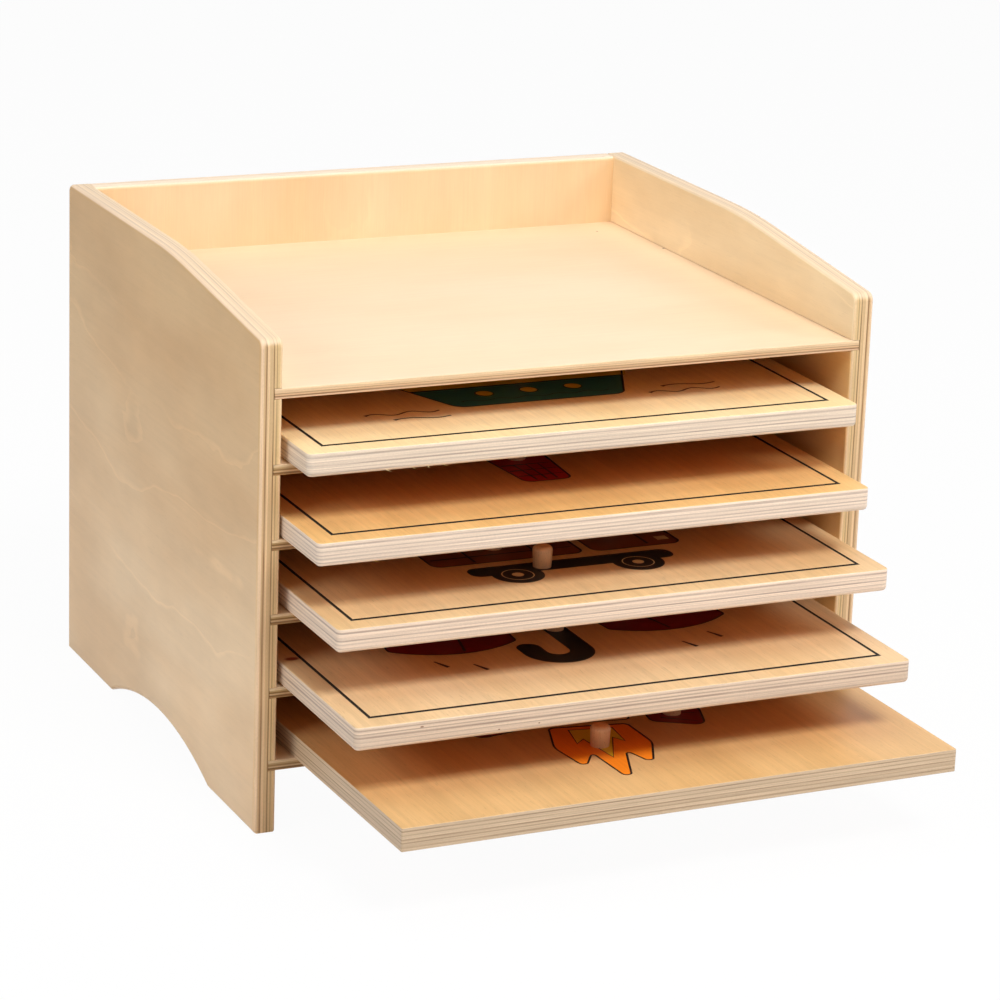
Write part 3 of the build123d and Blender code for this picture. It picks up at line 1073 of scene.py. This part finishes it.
# Root of a splinter, in millimetres: half width, how far in its front and back lie, and how high
# its front, back and tip are above the board's underside
ROOT_HALF_WIDTH = 0.45
ROOT_FRONT = 1.3
ROOT_BACK = 2.2
ROOT_FRONT_HEIGHT = 0.45
ROOT_BACK_HEIGHT = 0.15
TIP_HEIGHT = 0.10


def add_splinters(name, shapes):
    """Small three-sided spikes on the lower front edge of a puzzle's board, as one piece."""
    board = f"{name}_board"
    low = (boards[name]["bottom"] - boards[name]["top"]) / MM
    mesh = bmesh.new()
    for x, length, lean in shapes:
        points = [
            (x - ROOT_HALF_WIDTH, ROOT_FRONT, low + ROOT_FRONT_HEIGHT),
            (x + ROOT_HALF_WIDTH, ROOT_FRONT, low + ROOT_FRONT_HEIGHT),
            (x, ROOT_BACK, low + ROOT_BACK_HEIGHT),
            (x + lean, ROOT_FRONT - length, low + TIP_HEIGHT),
        ]
        corners = [mesh.verts.new(on_board(name, *point)) for point in points]
        for a, b, c in ((0, 1, 3), (1, 2, 3), (2, 0, 3), (2, 1, 0)):
            mesh.faces.new((corners[a], corners[b], corners[c]))
    bmesh.ops.recalc_face_normals(mesh, faces=mesh.faces)
    material = nodes[board].material_slots[0].material
    add_piece(f"{board}_splinters", mesh, material, body_of(board))


for splintered, shapes in SPLINTERS.items():
    add_splinters(splintered, shapes)


# Stage: floor, backdrop, lights and camera

# In metres and as shares of white: the floor's reach, its colour, how much of it shows as plain
# white, and the light that the surround gives the object
FLOOR_REACH = 6.0
FLOOR_GREY = (0.84, 0.84, 0.84)
FLOOR_GLOW = 0.96
AMBIENT = 0.18

# Lamps: place and aim in metres, size across and along, and watts
SOFTBOXES = {
    "key_light": ((0.15, -1.35, 1.90), (0, 0, 0.15), (0.7, 0.6), 32.0),
    "top_light": ((0.0, 0.2, 2.3), (0, 0, 0.15), (1.6, 1.6), 13.5),
    "left_fill": ((-1.9, -0.35, 1.20), (0, 0, 0.12), (1.4, 0.7), 14.0),
    "right_fill": ((0.95, -0.75, 0.85), (0, -0.15, 0.10), (0.4, 0.4), 4.5),
}


def stage():
    """A pale paper floor that shows almost white, with a hint of the object's shadow."""
    corners = box_of(-FLOOR_REACH, -FLOOR_REACH, FLOOR_REACH, FLOOR_REACH)
    mesh = bpy.data.meshes.new("floor")
    mesh.from_pydata([(x, y, 0) for x, y in corners], [], [(0, 1, 2, 3)])
    floor = bpy.data.objects.new("floor", mesh)
    bpy.context.scene.collection.objects.link(floor)
    shader = Shader("floor_paper", roughness=0.9, coat=0.0)
    shader.wire(shader.surface, "Base Color", FLOOR_GREY)
    rays = shader.node("LightPath", {}).outputs
    straight = shader.larger(rays["Is Camera Ray"], rays["Is Glossy Ray"])
    straight = shader.larger(straight, rays["Is Transmission Ray"])
    glow = shader.node("Emission", {"Color": WHITE, "Strength": 1.0})
    mixed = shader.node("MixShader", {
        0: shader.times(straight, FLOOR_GLOW),
        1: shader.surface.outputs[0],
        2: glow.outputs[0],
    })
    output = next(n for n in shader.tree.nodes if n.type == "OUTPUT_MATERIAL")
    shader.tree.links.new(mixed.outputs[0], output.inputs["Surface"])
    floor.data.materials.append(shader.material)


def backdrop():
    """A white surround that lights the object only a little."""
    world = bpy.data.worlds.new("studio")
    bpy.context.scene.world = world
    world.use_nodes = True
    tree = world.node_tree
    background = tree.nodes["Background"]
    rays = tree.nodes.new("ShaderNodeLightPath").outputs
    direct = rays["Is Camera Ray"]
    for ray in ("Is Glossy Ray", "Is Transmission Ray"):
        either = tree.nodes.new("ShaderNodeMath")
        either.operation = "MAXIMUM"
        tree.links.new(direct, either.inputs[0])
        tree.links.new(rays[ray], either.inputs[1])
        direct = either.outputs[0]
    strength = tree.nodes.new("ShaderNodeMapRange")
    strength.inputs["To Min"].default_value = AMBIENT
    strength.inputs["To Max"].default_value = 1.0
    tree.links.new(direct, strength.inputs["Value"])
    tree.links.new(strength.outputs[0], background.inputs["Strength"])
    background.inputs["Color"].default_value = (*WHITE, 1.0)


def softbox(name, place, aim, size, watts):
    """A rectangular lamp that points from its place to its aim."""
    light = bpy.data.lights.new(name, "AREA")
    light.shape = "RECTANGLE"
    light.size, light.size_y = size
    light.energy = watts
    lamp = bpy.data.objects.new(name, light)
    lamp.location = place
    lamp.rotation_euler = (Vector(aim) - Vector(place)).to_track_quat("-Z", "Y").to_euler()
    bpy.context.scene.collection.objects.link(lamp)


def camera():
    """The photograph's camera: turned to one side, tilted down and rolled a little."""
    lens = bpy.data.cameras.new("camera")
    lens.lens = CAMERA_LENS
    lens.sensor_width = CAMERA_SENSOR
    lens.sensor_fit = "HORIZONTAL"
    viewer = bpy.data.objects.new("camera", lens)
    bpy.context.scene.collection.objects.link(viewer)
    turn = Matrix.Rotation(math.radians(-CAMERA_AZIMUTH), 3, "Z")
    tilt = Matrix.Rotation(math.radians(90 - CAMERA_FALL), 3, "X")
    roll = Matrix.Rotation(math.radians(CAMERA_ROLL), 3, "Z")
    viewer.matrix_world = Matrix.Translation(CAMERA_PLACE) @ (turn @ tilt @ roll).to_4x4()
    bpy.context.scene.camera = viewer


stage()
backdrop()
for lamp_name, settings in SOFTBOXES.items():
    softbox(lamp_name, *settings)
camera()

scene = bpy.context.scene
scene.view_settings.view_transform = "Standard"
